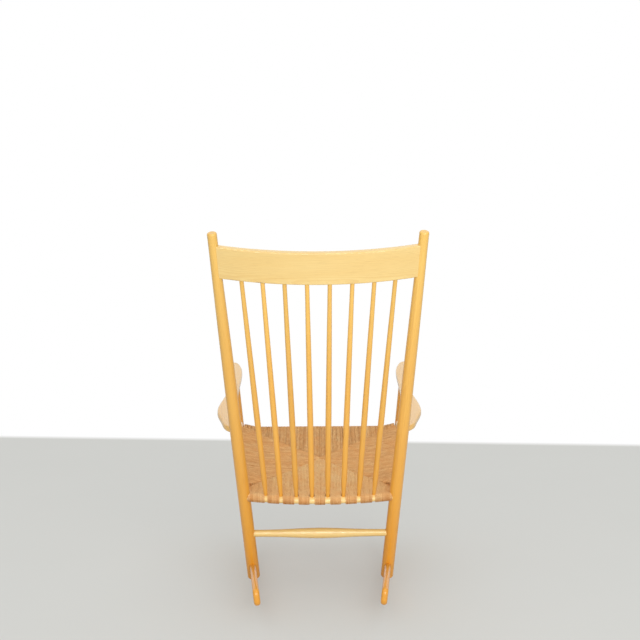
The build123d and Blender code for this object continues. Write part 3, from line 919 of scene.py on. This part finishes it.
class ROCKER_OT_finish_wood(Operator):
    """Give every piece of wood grain of its own under the lacquer"""

    bl_idname = "rocker.finish_wood"
    bl_label = "Finish the wood"

    def execute(self, context):
        settings = context.scene.rocker_wood
        wood_grain_group()
        for seed, name in enumerate(sorted(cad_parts)):
            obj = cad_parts[name]
            ends = long_axis(obj)
            bow = CREST_BOW if name == "crest_rail" else Vector()
            pale = name.startswith(PALE_PIECES)
            colour = settings.pale if pale else settings.golden
            # The golden pieces are painted lighter near the top, as painted light
            top = settings.pale if pale else settings.painted_light_top
            coat = PALE_COAT if pale else GOLDEN_COAT
            # The arms' paleness is partly their wood and partly a painted reflection on their
            # tops
            if name.startswith("arm"):
                golden = Vector(settings.golden)
                colour = top = golden.lerp(Vector(settings.pale), ARM_PALENESS_AND_REFLECTION)
            material = wood_material(
                f"wood_{name}", colour, top, ends, bow, coat, settings, seed
            )
            obj.data.materials.clear()
            obj.data.materials.append(material)
        return {"FINISHED"}


# ---- The studio ----


def floor_material(settings):
    """Pale, faintly clouded floor that turns white beyond the chair.

    The camera sees half of it without its shadows, which softens them.
    """
    material = bpy.data.materials.new("floor")
    material.use_nodes = True
    tree = material.node_tree
    shader = tree.nodes["Principled BSDF"]
    shader.inputs["Roughness"].default_value = 0.6
    shader.inputs["Specular IOR Level"].default_value = 0.25
    place = node(tree, "ShaderNodeTexCoord", (-900, 0)).outputs["Object"]
    cloudy = noise_at(tree, (-700, 0), place, scale=2.2, detail=5.0)
    grey = Vector(settings.floor)
    darker, lighter = grey * (1 - FLOOR_CLOUDS), grey * (1 + FLOOR_CLOUDS)
    clouded = mixed(tree, (-450, 0), cloudy, darker, lighter)
    feed(tree, shader.inputs["Base Color"], clouded)

    seen = node(tree, "ShaderNodeLightPath", (-700, -600)).outputs["Is Camera Ray"]
    even = node(tree, "ShaderNodeEmission", (-300, -500), Color=FLOOR_GLOW)
    glow = maths(tree, (-500, -600), "MULTIPLY", seen, FLOOR_GLOW_SHARE)
    softer = node(tree, "ShaderNodeMixShader", (0, -200))
    for socket, value in zip(softer.inputs, (glow, shader.outputs[0], even.outputs[0])):
        feed(tree, socket, value)

    parts = split(tree, (-700, -300), place)
    slant = maths(
        tree, (-600, -300), "MULTIPLY_ADD", parts["X"], WHITE_SLANT, parts["Y"]
    )
    edge = ranged(tree, (-450, -300), slant, start=WHITE_FROM, stop=WHITE_TO)
    beyond = maths(tree, (-200, 200), "MULTIPLY", edge, seen)
    white = node(tree, "ShaderNodeEmission", (-300, -300))
    both = node(tree, "ShaderNodeMixShader", (200, 0))
    for socket, value in zip(both.inputs, (beyond, softer.outputs[0], white.outputs[0])):
        feed(tree, socket, value)
    feed(tree, tree.nodes["Material Output"].inputs["Surface"], both.outputs[0])
    return material


def studio_world(settings):
    """Even light that is weaker from the left and right, and seen as white."""
    world = bpy.data.worlds.new("studio")
    world.use_nodes = True
    tree = world.node_tree
    room = tree.nodes["Background"]
    room.inputs["Color"].default_value = (1, 1, 1, 1)
    facing = node(tree, "ShaderNodeTexCoord", (-1000, 0)).outputs["Generated"]
    across = split(tree, (-800, 0), facing)["X"]
    aside = maths(tree, (-600, 0), "ABSOLUTE", across)
    strength = ranged(
        tree,
        (-400, 0),
        aside,
        start=0.3,
        low=settings.fill,
        high=settings.fill * SIDE_LIGHT,
        curve="SMOOTHSTEP",
    )
    feed(tree, room.inputs["Strength"], strength)
    white = node(tree, "ShaderNodeBackground", (0, -200), Color=(1, 1, 1, 1))
    seen = node(tree, "ShaderNodeLightPath", (-200, 300)).outputs["Is Camera Ray"]
    pick = node(tree, "ShaderNodeMixShader", (250, 0))
    for socket, value in zip(pick.inputs, (seen, room.outputs[0], white.outputs[0])):
        feed(tree, socket, value)
    feed(tree, tree.nodes["World Output"].inputs["Surface"], pick.outputs[0])
    return world


def add_key_light(settings):
    """A wide soft lamp behind and above the camera."""
    bpy.ops.object.light_add(type="AREA", location=KEY_PLACE)
    light = bpy.context.object
    light.name = "key"
    light.data.shape = "RECTANGLE"
    light.data.size = KEY_WIDTH
    light.data.size_y = KEY_HEIGHT
    light.data.energy = settings.key
    light.rotation_euler = (KEY_AIM - KEY_PLACE).to_track_quat("-Z", "Y").to_euler()


def add_camera(settings):
    """The camera behind the chair, looking a little down."""
    lens = bpy.data.cameras.new("camera")
    lens.lens = settings.lens
    lens.sensor_width = SENSOR_WIDTH
    lens.shift_x = CAMERA_SHIFT_X
    lens.shift_y = CAMERA_SHIFT_Y
    camera = bpy.data.objects.new("camera", lens)
    bpy.context.collection.objects.link(camera)
    camera.location = CAMERA_PLACE
    level = Euler((math.radians(90 - CAMERA_DOWN), 0, math.radians(180))).to_matrix()
    roll = Matrix.Rotation(math.radians(CAMERA_ROLL), 3, "Z")
    camera.rotation_euler = (level @ roll).to_euler()
    return camera


class ROCKER_OT_stage(Operator):
    """Add the pale floor, the soft light and the camera"""

    bl_idname = "rocker.stage"
    bl_label = "Stage"

    def execute(self, context):
        settings = context.scene.rocker_stage
        bpy.ops.object.select_all(action="DESELECT")
        bpy.ops.mesh.primitive_plane_add(size=FLOOR_SIZE, location=(0, 0, 0))
        floor = context.object
        floor.name = "floor"
        floor.data.materials.append(floor_material(settings))
        context.scene.world = studio_world(settings)
        add_key_light(settings)
        context.scene.camera = add_camera(settings)
        context.scene.view_settings.view_transform = "Standard"
        return {"FINISHED"}


class ROCKER_PT_panel(Panel):
    """Steps that finish the chair"""

    bl_label = "Rocking chair"
    bl_idname = "ROCKER_PT_panel"
    bl_space_type = "VIEW_3D"
    bl_region_type = "UI"
    bl_category = "Rocking chair"

    def draw(self, context):
        layout = self.layout
        for step in STEPS:
            layout.operator(step.bl_idname)
        for group in ("rocker_wood", "rocker_weave", "rocker_stage"):
            settings = getattr(context.scene, group)
            box = layout.box()
            for name in type(settings).__annotations__:
                box.prop(settings, name)


STEPS = (
    ROCKER_OT_finish_wood,
    ROCKER_OT_front_field,
    ROCKER_OT_side_fields,
    ROCKER_OT_back_field,
    ROCKER_OT_packing,
    ROCKER_OT_stage,
)
GROUPS = {
    "rocker_wood": RockerWood,
    "rocker_weave": RockerWeave,
    "rocker_stage": RockerStage,
}


def register():
    for group in GROUPS.values():
        bpy.utils.register_class(group)
    for step in STEPS:
        bpy.utils.register_class(step)
    bpy.utils.register_class(ROCKER_PT_panel)
    for name, group in GROUPS.items():
        setattr(bpy.types.Scene, name, PointerProperty(type=group))


def unregister():
    for name in GROUPS:
        delattr(bpy.types.Scene, name)
    bpy.utils.unregister_class(ROCKER_PT_panel)
    for step in reversed(STEPS):
        bpy.utils.unregister_class(step)
    for group in reversed(GROUPS.values()):
        bpy.utils.unregister_class(group)


def main():
    register()
    bpy.ops.rocker.finish_wood()
    bpy.ops.rocker.front_field()
    bpy.ops.rocker.side_fields()
    bpy.ops.rocker.back_field()
    bpy.ops.rocker.packing()
    bpy.ops.rocker.stage()


if __name__ == "__main__":
    main()
